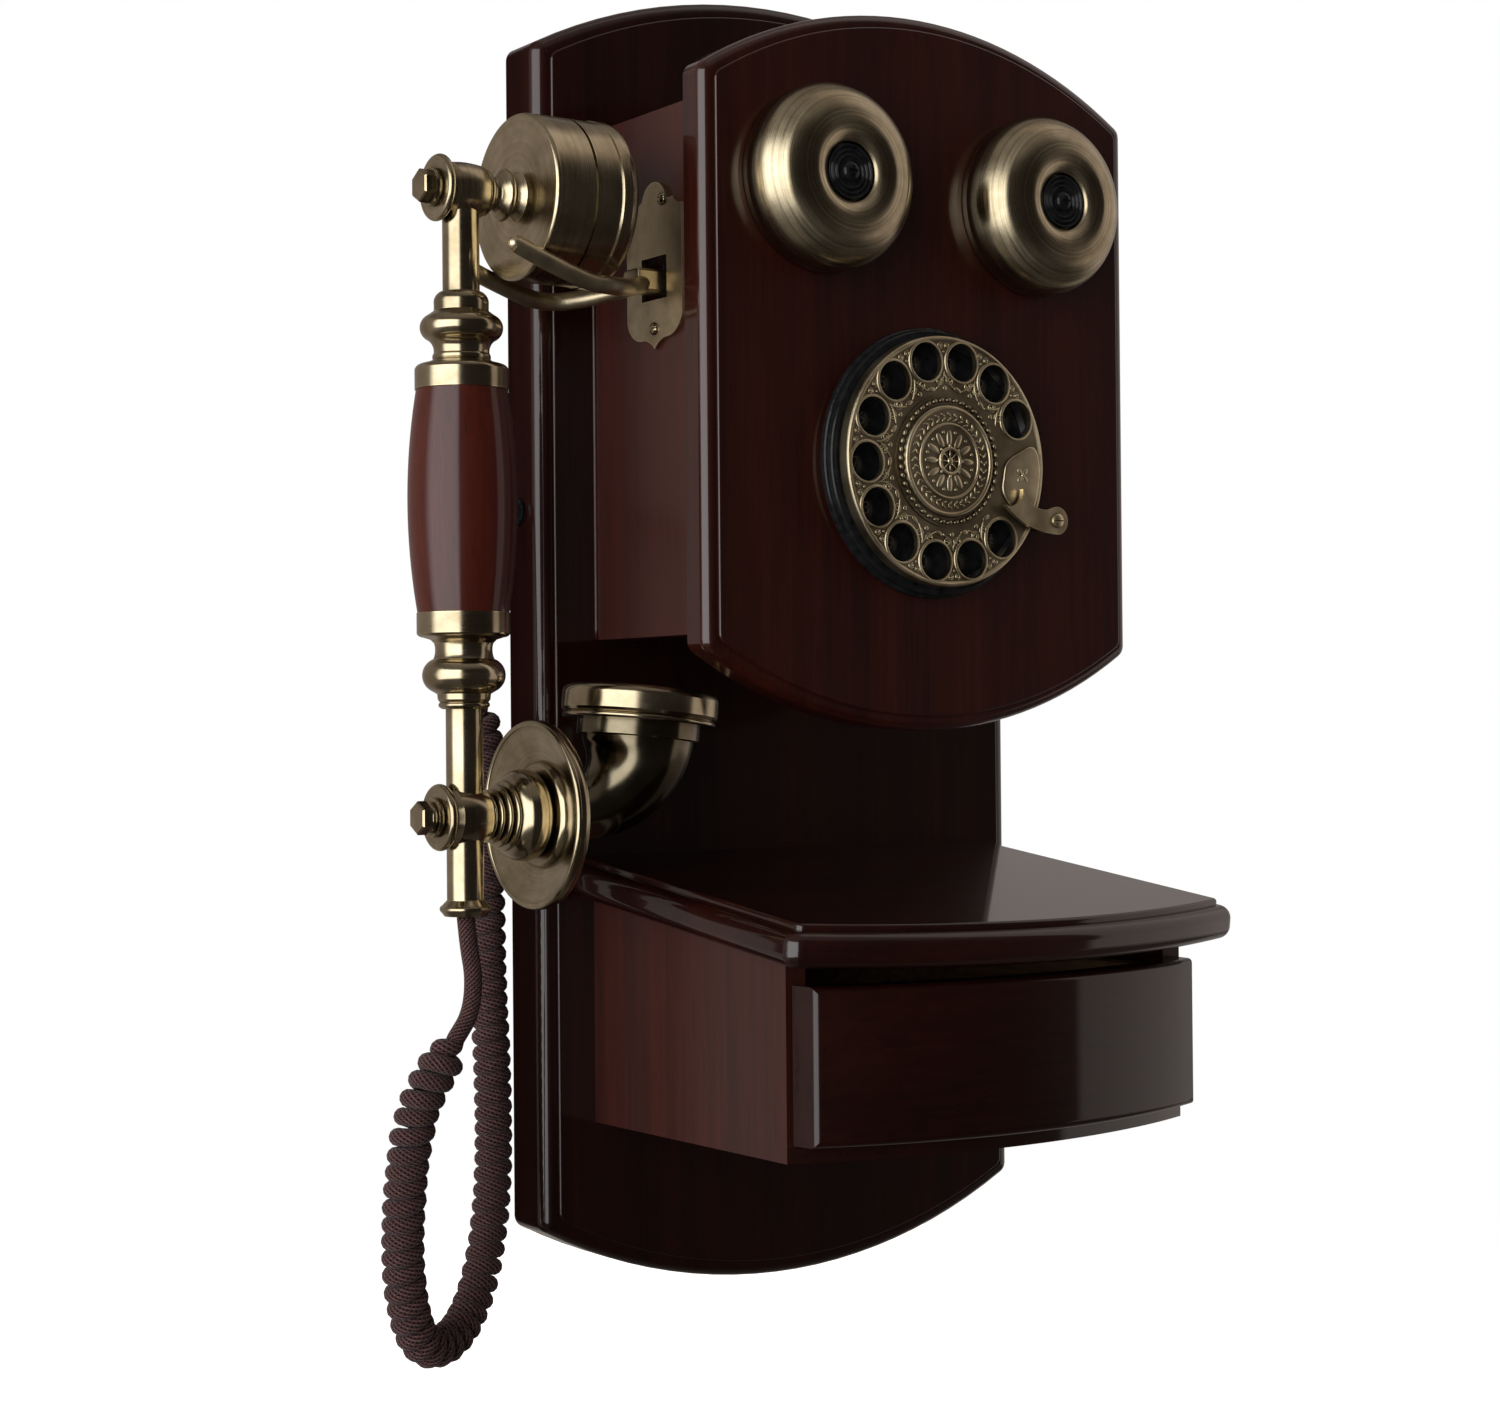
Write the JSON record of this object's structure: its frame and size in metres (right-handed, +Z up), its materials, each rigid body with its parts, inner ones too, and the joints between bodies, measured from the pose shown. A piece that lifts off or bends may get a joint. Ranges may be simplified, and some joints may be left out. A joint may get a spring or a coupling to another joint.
{
  "type": "wall telephone",
  "caption": "Wooden wall telephone with a rotary dial, hung handset on a sprung fork, domed bells, side crank, sloping shelf and drawer.",
  "frame": {"origin": "centre of the backboard's rear face, where it rests on the wall", "axes": "+Y into the wall, +Z up, +X to the viewer's right when facing the telephone"},
  "size_m": [0.3125, 0.1762, 0.4911],
  "materials": {
    "case_wood": "gloss lacquered dark mahogany",
    "drawer_wood": "plain unlacquered",
    "grip_wood": "high gloss red-brown lacquer",
    "antique_brass": "polished and darkened",
    "black_plastic": "gloss",
    "board": "satin",
    "steel": "zinc plated",
    "cord_cloth": "braided cloth"
  },
  "bodies": {
    "root": {"backboard": "case_wood", "hanger_plates": "steel", "box_left_side": "case_wood", "box_right_side": "case_wood", "box_top": "case_wood", "box_bottom": "case_wood", "line_jack": "black_plastic", "face_panel": "case_wood", "circuit_board": "board", "bell_left": "antique_brass", "bell_right": "antique_brass", "bell_posts": "steel", "bell_caps": "black_plastic", "bell_screws": "black_plastic", "dial_base": "black_plastic", "number_plate": "black_plastic", "dial_mechanism": "black_plastic", "finger_stop": "antique_brass", "finger_stop_screw": "antique_brass", "hook_plate": "antique_brass", "hook_plate_screws": "antique_brass", "hook_bracket": "steel", "hook_switch": "black_plastic", "shelf_top": "case_wood", "case_sides": "case_wood", "case_bottom": "case_wood", "crank_bushing": "antique_brass", "cord_bushing": "black_plastic", "cord_tail_wall": "cord_cloth", "cord_coil": "cord_cloth", "cord_tail_handset": "cord_cloth"},
    "dial": {"dial_wheel": "antique_brass", "dial_medallion": "antique_brass", "dial_spindle": "steel"},
    "hook": {"hook_fork": "antique_brass", "hook_pin": "steel"},
    "handset": {"handset_grip": "grip_wood", "upper_neck": "antique_brass", "upper_tube": "antique_brass", "lower_neck": "antique_brass", "lower_tube": "antique_brass", "receiver_tee": "antique_brass", "transmitter_tee": "antique_brass", "cross_nuts": "antique_brass", "receiver_neck": "antique_brass", "receiver_shell": "antique_brass", "receiver_capsule": "black_plastic", "ear_cap": "antique_brass", "transmitter_neck": "antique_brass", "transmitter_disc": "antique_brass", "transmitter_horn": "antique_brass", "mouth_ring": "antique_brass", "mouth_grille": "black_plastic"},
    "drawer": {"drawer_front": "case_wood", "drawer_sides": "drawer_wood", "drawer_back": "drawer_wood", "drawer_bottom": "drawer_wood"},
    "crank": {"crank_handle": "antique_brass"},
    "crank_grip": {"crank_knob": "grip_wood"}
  },
  "joints": [
    {"name": "dial_turn", "type": "hinge", "parent": "root", "child": "dial", "pos_m": [0, -0.119, 0.059], "axis": [0, 1, 0], "range_deg": [0, 325], "stiffness_Nm_per_rad": 0.004, "springref_deg": -34.38},
    {"name": "handset_lift", "type": "slide", "parent": "root", "child": "handset", "axis": [-0.866, 0, 0.5], "range_m": [0, 0.12]},
    {"name": "hook_rise", "type": "hinge", "parent": "root", "child": "hook", "pos_m": [-0.06, -0.0652, 0.1215], "axis": [0, 1, 0], "range_deg": [0, 7]},
    {"name": "drawer_slide", "type": "slide", "parent": "root", "child": "drawer", "axis": [0, -1, 0], "range_m": [0, 0.085]},
    {"name": "crank_turn", "type": "hinge", "parent": "root", "child": "crank", "pos_m": [0.0856, -0.061, 0.09], "axis": [1, 0, 0], "continuous": true},
    {"name": "crank_grip_spin", "type": "hinge", "parent": "crank", "child": "crank_grip", "pos_m": [0.11, -0.061, 0.06], "axis": [1, 0, 0], "continuous": true}
  ],
  "couplings": [
    {"joint": "hook_rise", "follows": "handset_lift", "rad_per_m": 1}
  ]
}
